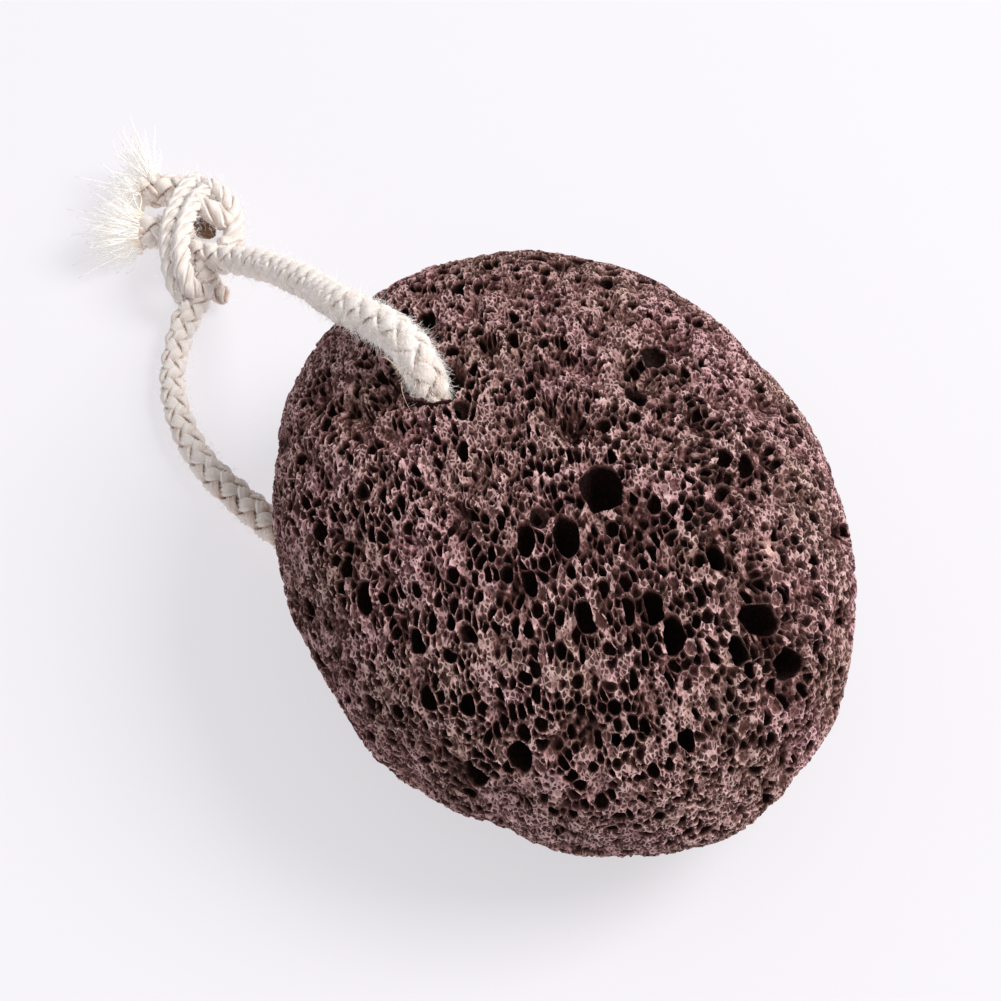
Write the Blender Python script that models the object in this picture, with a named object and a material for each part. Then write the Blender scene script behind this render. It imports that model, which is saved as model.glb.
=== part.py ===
"""Foot-care stone of dark lava pumice, with a loop of braided cotton rope.

The stone is one solid: a rounded pebble whose whole surface is a foam of open pores, laid
out as a net of cells, each sunk into a pit.  A hole runs slantwise from the top to the lower
flank.  The rope goes through it and both its ends are tied together in one knot.

Metres, +Z up.  The origin is under the middle of the stone, on the surface it stands on.
+X runs along the stone's length, and the rope leaves at the -X end.
"""
import math
import random

import bmesh
import bpy
import numpy as np
from mathutils import Vector

MM = 0.001

# Stone ---------------------------------------------------------------------------------
STONE_LENGTH = 97.0 * MM
STONE_WIDTH = 76.2 * MM
STONE_HEIGHT = 42.1 * MM
WORN_BASE = 0.9 * MM            # how much of the rounded underside is worn flat
EGG = -0.048                    # the plan is broader towards -X
PLAN_POWER = 2.1                # 2 is an ellipse, more is boxier
SIDE_POWER = 2.35
LUMPS = 0.30 * MM               # low swellings of the surface
LUMP_SIZE = 15.0 * MM

# Dents (negative) and bulges of the outline: place, radius, height, in millimetres.
LEDGES = (
    ((37.5, -23.5, 13.0), 4.0, -2.0),
    ((22.0, -33.5, 14.0), 9.0, 1.2),
    ((47.0, 5.0, 14.0), 9.0, 1.1),
    ((-31.1, -7.6, 37.8), 4.5, -1.6),
)

# Pores ---------------------------------------------------------------------------------
SEED = 7
GRAIN = Vector((0.97, -0.23, 0.0)).normalized()   # the bubbles were drawn out this way
STRETCH_MOST = 1.6
STRETCH_FROM = 12.0 * MM        # the pores are round beyond this, on the +Y side
STRETCH_TO = -8.0 * MM
PORE_RADII = (2.0 * MM, 1.55 * MM, 1.2 * MM)       # coarse, middle and fine pores
PORE_TRIES = (700, 5000, 40000)
PORE_DEPTH = 1.05               # of a pore's radius
REST_PATCH = 4.0 * MM           # an unpitted patch at the middle of the base
MERGED_SHARE = 0.10             # neighbours that broke through into each other

# The large pits: place, length along the grain, width and depth, in millimetres.
PITS = (
    ((9.9, 1.3, 42.0), 6.4, 5.2, 5.5),
    ((23.8, 11.8, 39.6), 3.6, 3.2, 4.5),
    ((31.6, 16.4, 36.5), 3.6, 3.4, 5.0),
    ((35.2, 13.6, 35.8), 4.6, 3.2, 4.0),
    ((39.1, 17.2, 31.4), 4.8, 3.4, 4.5),
    ((15.5, -5.6, 41.5), 6.6, 3.4, 4.5),
    ((13.9, -10.3, 41.2), 4.6, 3.2, 3.5),
    ((32.3, 2.4, 38.3), 6.8, 2.8, 4.5),
    ((28.1, 1.2, 39.6), 5.0, 3.0, 4.0),
    ((20.1, -12.6, 40.1), 4.6, 2.4, 3.0),
    ((26.4, -7.3, 39.6), 6.6, 2.4, 3.0),
    ((35.9, -25.3, 26.3), 3.4, 3.2, 4.5),
    ((10.3, -31.3, 33.9), 6.2, 2.6, 3.5),
    ((-2.5, -33.2, 33.1), 4.0, 2.4, 3.0),
    ((20.3, -27.2, 34.8), 4.2, 2.4, 3.0),
    ((26.3, -27.9, 31.9), 4.6, 2.4, 3.0),
    ((30.6, -23.9, 32.9), 4.4, 2.4, 3.0),
    ((37.8, -19.8, 30.2), 7.2, 3.6, 3.5),
    ((41.0, -8.5, 33.3), 5.4, 2.2, 3.0),
    ((43.4, -0.2, 32.3), 6.0, 2.2, 3.0),
    ((-4.2, 12.1, 41.4), 5.4, 2.8, 3.0),
    ((-10.1, 17.0, 40.2), 4.2, 3.6, 1.8),
    ((10.9, 21.7, 39.0), 4.0, 2.4, 2.5),
    ((-34.3, -2.5, 37.1), 5.2, 2.4, 3.0),
)

# Rope ----------------------------------------------------------------------------------
ROPE_DIAMETER = 5.2 * MM
ROPE_STEP = 5.0 * MM            # spacing of the tube's points
HOLE_SIDES = 16

# The hole's middle line and its radius, in millimetres: a groove worn in the lip, the mouth,
# the bore and the lower mouth.  The rope lies loose in it.
HOLE_LINE = (
    ((-30.0, -17.2, 40.6), 2.9),
    ((-25.7, -15.6, 41.7), 3.1),
    ((-22.6, -14.5, 42.3), 3.2),
    ((-19.5, -13.5, 42.1), 3.4),
    ((-16.8, -12.7, 40.9), 3.7),
    ((-14.5, -12.5, 38.8), 3.9),
    ((-13.0, -13.1, 36.1), 3.8),
    ((-12.4, -14.2, 33.1), 3.7),
    ((-12.8, -15.8, 30.1), 3.6),
    ((-14.1, -18.2, 25.9), 3.6),
    ((-15.7, -20.9, 20.6), 3.6),
    ((-17.2, -23.5, 15.5), 3.6),
    ((-18.6, -26.0, 10.9), 3.8),
    ((-20.3, -28.6, 7.0), 4.4),
    ((-22.4, -31.2, 3.6), 5.2),
)

# The rope's middle line, from the knot over the stone, through it and back, millimetres.
ROPE_ROUTE = (
    (-77.5, -26.8, 8.6),
    (-73.4, -24.7, 11.4),
    (-68.0, -23.1, 15.3),
    (-63.2, -22.1, 18.6),
    (-58.7, -21.3, 21.6),
    (-54.8, -20.6, 24.2),
    (-51.1, -19.9, 26.6),
    (-47.7, -19.4, 28.6),
    (-43.8, -19.2, 31.2),
    (-39.0, -19.2, 34.8),
    (-34.0, -18.7, 38.1),
    (-29.3, -17.1, 40.3),
    (-25.8, -15.8, 41.6),
    (-22.6, -14.6, 42.2),
    (-19.5, -13.8, 42.0),
    (-16.8, -13.3, 40.8),
    (-14.5, -13.2, 38.8),
    (-13.0, -13.6, 36.1),
    (-12.4, -14.6, 33.1),
    (-12.8, -16.1, 30.0),
    (-14.1, -18.4, 25.6),
    (-15.8, -21.1, 20.3),
    (-17.2, -23.5, 15.5),
    (-18.6, -26.0, 10.9),
    (-20.1, -28.3, 7.2),
    (-21.9, -30.3, 4.7),
    (-24.4, -32.2, 3.2),
    (-27.4, -33.9, 2.7),
    (-31.0, -35.7, 2.7),
    (-35.6, -37.9, 2.7),
    (-41.0, -40.1, 2.7),
    (-47.0, -41.5, 2.7),
    (-53.0, -41.9, 2.7),
    (-59.0, -41.4, 2.7),
    (-64.5, -39.9, 2.7),
    (-69.2, -37.7, 2.8),
    (-72.4, -35.7, 3.1),
    (-75.0, -33.6, 3.7),
)

# Knot: the middle lines of its turns and tails, and their radii, in millimetres.
KNOT_TURNS = (
    (2.3, ((-95.8, -21.9, 4.6), (-97.2, -26.0, 6.8), (-95.8, -30.4, 7.9),
           (-92.0, -33.0, 8.1), (-88.0, -34.4, 7.8), (-83.6, -34.9, 6.9),
           (-80.6, -34.4, 5.6))),
    (2.3, ((-92.6, -21.4, 5.0), (-94.4, -24.0, 7.4), (-92.8, -27.6, 9.0),
           (-89.2, -29.8, 9.6), (-85.0, -31.0, 9.0), (-81.6, -31.4, 7.4))),
    (2.1, ((-95.2, -23.4, 4.4), (-92.8, -20.6, 5.8), (-89.2, -20.7, 6.3),
           (-86.4, -22.8, 6.4), (-84.9, -25.6, 6.8), (-83.0, -28.0, 7.0))),
    (3.7, ((-93.6, -25.6, 4.2), (-90.0, -28.4, 4.3), (-85.6, -30.2, 4.3))),
    (2.6, ((-84.0, -30.6, 5.6), (-81.4, -29.2, 6.6), (-78.3, -27.2, 8.1))),
    (2.6, ((-83.4, -29.4, 5.6), (-79.4, -30.4, 4.9), (-75.7, -33.0, 3.9))),
    (2.4, ((-95.3, -28.6, 4.5), (-98.7, -30.5, 4.8), (-101.4, -32.0, 5.2))),
    (2.4, ((-89.1, -31.9, 4.0), (-91.2, -35.4, 4.0), (-92.9, -38.6, 4.1))),
)
FRAYED_ENDS = (
    ((-100.6, -31.6, 5.1), (-107.4, -34.6, 5.8), 2.5, 4.2),
    ((-92.6, -38.0, 4.1), (-95.2, -44.2, 4.3), 2.5, 4.0),
)
KNOT_VOXEL = 0.8 * MM
KNOT_FACES = 0.13               # share of the remeshed faces that is kept
TUBE_SIDES = 12


def clear_scene():
    """Removes what the file opened with."""
    for item in list(bpy.data.objects):
        bpy.data.objects.remove(item, do_unlink=True)


def make_material(name, colour, roughness):
    """A plain Principled material."""
    material = bpy.data.materials.new(name)
    material.use_nodes = True
    shader = material.node_tree.nodes["Principled BSDF"]
    shader.inputs["Base Color"].default_value = (*colour, 1.0)
    shader.inputs["Roughness"].default_value = roughness
    shader.inputs["Metallic"].default_value = 0.0
    return material


def add_object(name, mesh, material):
    """Puts a mesh in the scene under its node's name."""
    mesh.materials.append(material)
    item = bpy.data.objects.new(name, mesh)
    bpy.context.collection.objects.link(item)
    return item


# Form of the stone -----------------------------------------------------------------------
def half_sizes():
    """Half the length, width and height of the pebble before its base is worn."""
    return np.array((STONE_LENGTH, STONE_WIDTH, STONE_HEIGHT + WORN_BASE)) / 2


def stone_centre():
    """The middle that the pebble's form is drawn around."""
    return np.array((-EGG * STONE_LENGTH / 2, 0.0, half_sizes()[2] - WORN_BASE))


def lumps(points):
    """Gentle swellings: a sum of seeded waves, between about -1 and 1."""
    rng = random.Random(SEED)
    total = np.zeros(len(points))
    waves = 7
    for _ in range(waves):
        way = Vector([rng.gauss(0, 1) for _ in range(3)]).normalized()
        length = LUMP_SIZE * rng.uniform(0.9, 2.0)
        phase = rng.uniform(0, math.tau)
        total += np.sin(points @ np.array(way) * math.tau / length + phase)
    return total / math.sqrt(waves)


def stone_surface(directions):
    """Points of the unpitted stone, one for each row of unit directions."""
    half = half_sizes()
    points = directions * half
    turn = np.arctan2(points[:, 1], points[:, 0])
    plan = (np.abs(np.cos(turn) / half[0]) ** PLAN_POWER
            + np.abs(np.sin(turn) / half[1]) ** PLAN_POWER) ** (-1 / PLAN_POWER)
    plan *= 1 + EGG * np.cos(turn)
    reach = np.hypot(points[:, 0], points[:, 1]) / plan
    grow = (reach ** SIDE_POWER + np.abs(directions[:, 2]) ** SIDE_POWER) ** (-1 / SIDE_POWER)
    points = points * grow[:, None]
    radius = np.linalg.norm(points, axis=1)
    rise = LUMPS * lumps(points)
    for place, size, height in LEDGES:
        gap = points + stone_centre() - np.array(place) * MM
        rise += height * MM * np.exp(-(gap ** 2).sum(axis=1) / (size * MM) ** 2)
    points = points * (1 + rise / radius)[:, None]
    floor = half[2] - WORN_BASE
    low = np.minimum(points[:, 2], -1e-9)
    points = points * np.minimum(1.0, floor / -low)[:, None]
    return points + stone_centre()


def direction_to(place):
    """The direction whose surface point lies on the line from the middle to a place."""
    along = (np.array(place) - stone_centre()) / half_sizes()
    return along / np.linalg.norm(along)


# Pores -----------------------------------------------------------------------------------
class PoreNet:
    """Pore centres spread over the stone, none nearer than their radii allow."""

    def __init__(self):
        self.directions = []
        self.points = []
        self.radii = []
        self.groups = []
        self.buckets = {}
        self.bucket = 2 * max(PORE_RADII)

    def keys(self, point, reach):
        """The buckets that a ball around a point touches."""
        low = [math.floor((c - reach) / self.bucket) for c in point]
        high = [math.floor((c + reach) / self.bucket) for c in point]
        return [(i, j, k) for i in range(low[0], high[0] + 1)
                for j in range(low[1], high[1] + 1) for k in range(low[2], high[2] + 1)]

    def free(self, point, radius):
        """True when no pore lies too near."""
        for index in self.buckets.get(self.keys(point, 0)[0], ()):
            step = Vector(point) - Vector(self.points[index])
            along = step.dot(GRAIN)
            stretch = grain_stretch(point)
            apart = step.length_squared - along * along * (1 - 1 / stretch ** 2)
            if apart < (radius + self.radii[index]) ** 2:
                return False
        return True

    def add(self, direction, point, radius, group=-1):
        """Takes a pore into the net."""
        index = len(self.points)
        self.directions.append(tuple(direction))
        self.points.append(tuple(point))
        self.radii.append(radius)
        self.groups.append(group)
        reach = (radius + max(PORE_RADII)) * STRETCH_MOST
        for key in self.keys(point, reach):
            self.buckets.setdefault(key, []).append(index)


def grain_stretch(point):
    """How far the pores are drawn out along the grain at a place."""
    share = (STRETCH_FROM - point[1]) / (STRETCH_FROM - STRETCH_TO)
    share = min(1.0, max(0.0, share))
    return 1 + (STRETCH_MOST - 1) * share


def random_directions(rng, count):
    """Directions whose points are spread evenly over the stone's surface."""
    rows = np.array([[rng.gauss(0, 1) for _ in range(3)] for _ in range(count)])
    rows /= np.linalg.norm(rows, axis=1)[:, None]
    area = np.linalg.norm(rows / half_sizes(), axis=1) * half_sizes().min()
    chance = np.array([rng.random() for _ in range(count)])
    return rows[chance < area]


def lay_out_pores():
    """The named pits first, then coarse, middle and fine pores between them."""
    rng = random.Random(SEED)
    net = PoreNet()
    down = np.array((0.0, 0.0, -1.0))
    net.add(down, stone_surface(down[None])[0], REST_PATCH, group=len(PITS))
    for group, (place, length, width, _) in enumerate(PITS):
        stretch = grain_stretch([c * MM for c in place])
        across = width * MM / 2
        run = max(0.0, length * MM / 2 - across * stretch)
        count = 2 if run > 0.3 * across else 1
        for step in range(count):
            shift = run * (2 * step - 1) if count == 2 else 0.0
            spot = Vector(place) * MM + GRAIN * shift
            direction = direction_to(spot)
            net.add(direction, stone_surface(direction[None])[0], across, group)
    for radius, tries in zip(PORE_RADII, PORE_TRIES):
        directions = random_directions(rng, tries)
        points = stone_surface(directions)
        for direction, point in zip(directions, points):
            size = radius * rng.uniform(0.88, 1.12)
            if net.free(point, size):
                net.add(direction, point, size)
    return net


def triangulate(net):
    """A mesh of triangles between neighbouring pore centres."""
    net_mesh = bmesh.new()
    for direction in net.directions:
        net_mesh.verts.new(direction)
    bmesh.ops.convex_hull(net_mesh, input=net_mesh.verts)
    net_mesh.verts.ensure_lookup_table()
    for vert, point in zip(net_mesh.verts, net.points):
        vert.co = point
    relax_edges(net_mesh)
    return net_mesh


def squeezed(step, stretch):
    """A step with the grain's stretch taken out."""
    return step - GRAIN * step.dot(GRAIN) * (1 - 1 / stretch)


def relax_edges(net_mesh):
    """Turns each edge that has flat triangles beside it, until none is left."""
    for _ in range(12):
        turned = 0
        for edge in list(net_mesh.edges):
            if not edge.is_valid or len(edge.link_faces) != 2:
                continue
            ends = edge.verts
            far = [v for f in edge.link_faces for v in f.verts if v not in ends]
            stretch = grain_stretch(ends[0].co)
            angle = 0.0
            for tip in far:
                one = squeezed(ends[0].co - tip.co, stretch)
                two = squeezed(ends[1].co - tip.co, stretch)
                angle += one.angle(two)
            crowded = min(len(v.link_edges) for v in ends) < 5
            if angle > math.pi + 0.02 and not crowded:
                if bmesh.utils.edge_rotate(edge, True):
                    turned += 1
        if turned == 0:
            return


def cell_corners(net, net_mesh):
    """Where three pores meet: one corner for each triangle, nearer the small pores."""
    rows = []
    for face in net_mesh.faces:
        sizes = [net.radii[v.index] for v in face.verts]
        total = 2 * sum(sizes)
        mix = np.zeros(3)
        for vert, size in zip(face.verts, sizes):
            mix += np.array(net.directions[vert.index]) * (total / 2 - size) / total
        rows.append(mix / np.linalg.norm(mix))
    return stone_surface(np.array(rows))


def loop_around(vert):
    """The faces around a pore centre, in turn."""
    start = vert.link_loops[0]
    ring = [start.face]
    step = start.link_loop_prev.link_loop_radial_next
    while step.face is not start.face:
        ring.append(step.face)
        step = step.link_loop_prev.link_loop_radial_next
    return ring


def make_cells(net):
    """The stone's skin as one polygon for each pore.  Returns it with the pore's numbers."""
    net_mesh = triangulate(net)
    net_mesh.verts.index_update()
    net_mesh.faces.index_update()
    corners = cell_corners(net, net_mesh)
    skin = bmesh.new()
    verts = [skin.verts.new(corner) for corner in corners]
    layer = skin.faces.layers.int.new("pore")
    for vert in net_mesh.verts:
        ring = [verts[face.index] for face in loop_around(vert)]
        cell = skin.faces.new(ring)
        cell[layer] = vert.index
    net_mesh.free()
    bmesh.ops.recalc_face_normals(skin, faces=skin.faces)
    return skin, layer


def merge_cells(skin, layer, net, rng):
    """Joins the two cells of a long pit, and some neighbours that broke through."""
    chosen = []
    busy = set()
    for edge in skin.edges:
        one, two = [face[layer] for face in edge.link_faces]
        same = net.groups[one] >= 0 and net.groups[one] == net.groups[two]
        free = net.groups[one] < 0 and net.groups[two] < 0 and not busy & {one, two}
        if same or (free and rng.random() < MERGED_SHARE):
            chosen.append(edge)
            busy |= {one, two}
    bmesh.ops.dissolve_edges(skin, edges=chosen, use_verts=False)


def sink(skin, cell, depth, steps):
    """Sinks a cell into a pit.  Each step is a share of its width and of its depth."""
    middle = cell.calc_center_median()
    inward = -cell.normal
    rim = list(cell.verts)
    ring = rim
    skin.faces.remove(cell)
    for share, down in steps:
        lower = [skin.verts.new(middle + (v.co - middle) * share + inward * depth * down)
                 for v in rim]
        for i in range(len(rim)):
            j = (i + 1) % len(rim)
            skin.faces.new((ring[i], ring[j], lower[j], lower[i]))
        ring = lower
    bottom = skin.verts.new(middle + inward * depth)
    for i in range(len(rim)):
        skin.faces.new((ring[i], ring[(i + 1) % len(rim)], bottom))


def build_stone(material):
    """The stone: its net of cells, each sunk, and the rope's hole cut through."""
    rng = random.Random(SEED)
    net = lay_out_pores()
    skin, layer = make_cells(net)
    merge_cells(skin, layer, net, rng)
    for cell in list(skin.faces):
        pore = cell[layer]
        group = net.groups[pore]
        if group == len(PITS):
            continue
        if group >= 0:
            sink(skin, cell, PITS[group][3] * MM, ((0.82, 0.42), (0.58, 0.85)))
        else:
            sink(skin, cell, net.radii[pore] * PORE_DEPTH * rng.uniform(0.7, 1.3), ())
    bmesh.ops.triangulate(skin, faces=skin.faces)
    mesh = bpy.data.meshes.new("stone")
    skin.to_mesh(mesh)
    skin.free()
    stone = add_object("stone", mesh, material)
    cut = stone.modifiers.new("hole", "BOOLEAN")
    cut.operation = "DIFFERENCE"
    cut.solver = "EXACT"
    cut.object = build_hole_cutter(material)
    return stone


def build_hole_cutter(material):
    """The hole: a tube along its own line."""
    points = [Vector(place) * MM for place, _ in HOLE_LINE]
    cutter = bmesh.new()
    add_tube(cutter, points, [radius * MM for _, radius in HOLE_LINE], HOLE_SIDES)
    mesh = bpy.data.meshes.new("hole_cutter")
    cutter.to_mesh(mesh)
    cutter.free()
    item = add_object("hole_cutter", mesh, material)
    item.hide_render = True
    item.display_type = "WIRE"
    return item


# Rope ------------------------------------------------------------------------------------
def add_tube(target, points, radii, sides):
    """A closed tube of circles around a line of points."""
    rings = []
    side = None
    for index, point in enumerate(points):
        before = points[max(index - 1, 0)]
        after = points[min(index + 1, len(points) - 1)]
        ahead = (after - before).normalized()
        if side is None:
            side = ahead.orthogonal().normalized()
        side = (side - ahead * side.dot(ahead)).normalized()
        other = ahead.cross(side)
        ring = []
        for step in range(sides):
            turn = math.tau * step / sides
            way = side * math.cos(turn) + other * math.sin(turn)
            ring.append(target.verts.new(point + way * radii[index]))
        rings.append(ring)
    for ring, following in zip(rings, rings[1:]):
        for i in range(sides):
            j = (i + 1) % sides
            target.faces.new((ring[i], ring[j], following[j], following[i]))
    target.faces.new(rings[0][::-1])
    target.faces.new(rings[-1])


def smooth_line(route, step):
    """Points a step apart on the smooth curve through a route's points."""
    rows = [Vector(p) * MM for p in route]
    rows = [2 * rows[0] - rows[1]] + rows + [2 * rows[-1] - rows[-2]]
    fine = []
    for a, b, c, d in zip(rows, rows[1:], rows[2:], rows[3:]):
        for part in range(12):
            t = part / 12
            fine.append(0.5 * (2 * b + (c - a) * t + (2 * a - 5 * b + 4 * c - d) * t ** 2
                               + (3 * b - a - 3 * c + d) * t ** 3))
    fine.append(rows[-2])
    reach = [0.0]
    for a, b in zip(fine, fine[1:]):
        reach.append(reach[-1] + (b - a).length)
    count = max(2, round(reach[-1] / step))
    line = []
    index = 0
    for number in range(count + 1):
        goal = reach[-1] * number / count
        while index < len(fine) - 2 and reach[index + 1] < goal:
            index += 1
        share = (goal - reach[index]) / (reach[index + 1] - reach[index])
        line.append(fine[index].lerp(fine[index + 1], min(1.0, share)))
    return line


def build_rope_loop(material):
    """The free loop of rope: one round tube along its route."""
    line = smooth_line(ROPE_ROUTE, ROPE_STEP)
    curve = bpy.data.curves.new("rope_loop", "CURVE")
    curve.dimensions = "3D"
    curve.bevel_depth = ROPE_DIAMETER / 2
    curve.bevel_resolution = 3
    curve.use_fill_caps = True
    spline = curve.splines.new("POLY")
    spline.points.add(len(line) - 1)
    for spot, place in zip(spline.points, line):
        spot.co = (*place, 1.0)
    return add_object("rope_loop", curve, material)


def build_knot(material):
    """The knot with its two short tails, grown together in one lumpy body."""
    knot = bmesh.new()
    for radius, route in KNOT_TURNS:
        line = smooth_line(route, 1.6 * MM)
        add_tube(knot, line, [radius * MM] * len(line), TUBE_SIDES)
    for start, end, thin, wide in FRAYED_ENDS:
        line = smooth_line((start, end), 1.6 * MM)
        shares = [i / (len(line) - 1) for i in range(len(line))]
        radii = [(thin + (wide - thin) * math.sin(math.pi / 2 * share)) * MM for share in shares]
        add_tube(knot, line, radii, TUBE_SIDES)
    for vert in knot.verts:
        vert.co.z = max(vert.co.z, KNOT_VOXEL / 2)
    mesh = bpy.data.meshes.new("rope_knot")
    knot.to_mesh(mesh)
    knot.free()
    item = add_object("rope_knot", mesh, material)
    merge = item.modifiers.new("one_body", "REMESH")
    merge.mode = "VOXEL"
    merge.voxel_size = KNOT_VOXEL
    merge.adaptivity = 0.0
    thin = item.modifiers.new("fewer_faces", "DECIMATE")
    thin.ratio = KNOT_FACES
    return item


def main():
    clear_scene()
    pumice = make_material("pumice", (0.105, 0.062, 0.058), 0.92)
    cotton = make_material("cotton", (0.80, 0.73, 0.64), 0.95)
    build_stone(pumice)
    build_rope_loop(cotton)
    build_knot(cotton)


main()
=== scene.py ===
"""Looks of the dark pumice foot stone and its loop of braided cotton rope.

The stone's skin is a foam of many thousand pores, each a cell of one closed mesh.  The rope
is braided from eight flat strands, and the knot is tied from twisted turns of the same yarn.
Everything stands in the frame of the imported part: metres, +Z up, origin under the stone.
Bare places and sizes in the tables below are in millimetres.
"""

import itertools
import math
import random

import bmesh
import bpy
import numpy as np
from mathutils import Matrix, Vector
from mathutils.geometry import delaunay_2d_cdt


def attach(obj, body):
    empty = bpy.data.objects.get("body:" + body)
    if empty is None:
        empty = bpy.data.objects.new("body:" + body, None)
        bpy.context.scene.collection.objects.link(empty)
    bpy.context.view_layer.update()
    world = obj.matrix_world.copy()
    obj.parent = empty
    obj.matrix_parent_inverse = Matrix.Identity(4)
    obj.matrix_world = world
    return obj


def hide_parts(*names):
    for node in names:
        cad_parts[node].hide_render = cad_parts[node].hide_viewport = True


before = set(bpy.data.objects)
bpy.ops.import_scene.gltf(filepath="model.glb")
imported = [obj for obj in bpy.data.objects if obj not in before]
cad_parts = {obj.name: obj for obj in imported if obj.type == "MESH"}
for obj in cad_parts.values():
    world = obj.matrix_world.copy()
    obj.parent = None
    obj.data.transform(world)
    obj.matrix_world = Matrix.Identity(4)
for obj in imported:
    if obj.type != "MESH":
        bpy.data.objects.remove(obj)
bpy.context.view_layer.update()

MM = 0.001
SEED = 7
WAVES = 7  # how many sine waves a smooth noise is the sum of

# ---- View
VIEW_AZIMUTH = math.radians(70.0)
VIEW_ELEVATION = math.radians(52.0)
VIEW_DISTANCE = 300.0 * MM
VIEW_AIM = Vector((-8.4, -5.6, 20.0)) * MM
FOCAL_PIXELS = 2154.0
FRAME_PIXELS = 1001.0
SENSOR = 36.0

# Form of the stone, as in the part 
STONE_LENGTH = 97.0 * MM
STONE_WIDTH = 76.2 * MM
STONE_HEIGHT = 42.1 * MM
WORN_BASE = 0.9 * MM
EGG = -0.048
PLAN_POWER = 2.1
SIDE_POWER = 2.35
LUMPS = 0.30 * MM
LUMP_SIZE = 15.0 * MM

# Dents (negative) and bulges: place, radius, height.
LEDGES = (
    ((37.5, -23.5, 13.0), 4.0, -2.0),
    ((22.0, -33.5, 14.0), 9.0, 1.2),
    ((47.0, 5.0, 14.0), 9.0, 1.1),
    ((-31.1, -7.6, 37.8), 4.5, -1.6),
)

# ---- Pores
GRAIN = np.array((0.973, -0.231, 0.0))  # the bubbles were drawn out this way
STRETCH_LEAST = 1.25
STRETCH_MOST = 2.2
STRETCH_FROM = 15.0 * MM  # the pores are nearly round beyond this, on the +Y side
STRETCH_TO = -5.0 * MM
REST_PATCH = 4.0 * MM  # the unpitted patch at the middle of the base
PORE_CLASSES = (  # radius, how many places are tried
    (1.10, 60), (0.80, 330), (0.60, 1150), (0.46, 2600), (0.36, 9000), (0.27, 420000),
)
FINE_PORES = 0.30 * MM  # pores with a smaller radius are drawn out less,
FINE_STRETCH = 0.4  # by this share of what the others are
PIT_SEED = 0.36  # the pore at a large pit's middle, as a share of its width
FLIP_SLACK = 0.02  # radians by which an edge has to be worse than the one across
MOST_FLIPS = 3  # for each edge
LEAST_SIDES = 4  # of a pore's cell
CORNER_JITTER = 0.13  # of the walls' corners, as a share of the least pore there
MERGED_SHARE = 0.07  # of the walls between small pores that broke through
MERGED_RADIUS = 0.75 * MM  # the largest pores that can merge

# The foam's coarseness: how much it varies in patches, and how much it grows towards +X.
PATCHINESS = 0.15
PATCH_SIZE = 9 * MM
COARSER_AT_X = 0.12
AT_X = 30 * MM
# Low down and on the side away from the camera it grows too: from where, over how far.
HIDDEN_COARSER = 1.2
UNDERSIDE = (-11.0 * MM, 5 * MM)
FAR_SIDE = np.array((-0.94, 0.34, -0.4))
FAR_FLANK = (17 * MM, 12 * MM)

# How a pore goes down: share of its width, share of its depth, share of its sideways lean.
CONE = ()
CUP = ((0.74, 0.55, 0.5),)
BOWL = ((0.90, 0.18, 0.0), (0.62, 0.80, 0.6))
DEEP_BOWL = ((0.94, 0.14, 0.0), (0.84, 0.50, 0.3), (0.52, 0.92, 0.8))
BROKEN_BOWL = ((0.92, 0.10, 0.0), (0.76, 0.30, 0.5), (0.48, 0.38, 1.2), (0.36, 0.80, 1.3))
# The kinds of pore up to a radius: depths and shallow depths in radii, share of shallow ones.
PORE_KINDS = (
    (0.64, CONE, (1.0, 2.2), (0.1, 0.35), 0.50),
    (0.92, CUP, (1.0, 1.9), (0.2, 0.45), 0.26),
    (1.3, BOWL, (1.2, 1.9), (0.3, 0.6), 0.182),
)
COARSE_FOAM = 1.5  # where it is coarser, twice as many cups and bowls are shallow
DEEP_BOWL_DEPTHS = (1.4, 2.1)  # the largest pores
BROKEN_SHARE = 0.4  # of the deep bowls
PORE_LEAN = 0.16  # how far a pore's floor is off its middle, in radii
PIT_LEAN = 0.10

# How far the walls are worn down, and the broken-down hollows.
LEAST_WEAR = 0.04 * MM
WEAR = 0.50 * MM
WEAR_SHADE = 0.3  # how much painted shade a worn-down wall gets for its lowering, compared with a pore's depth
HOLLOWS = 640
HOLLOW_RADIUS = (1.0, 2.8)
HOLLOW_DEPTH = (0.25, 1.1)
SHARP_ANGLE = math.radians(55)

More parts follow.
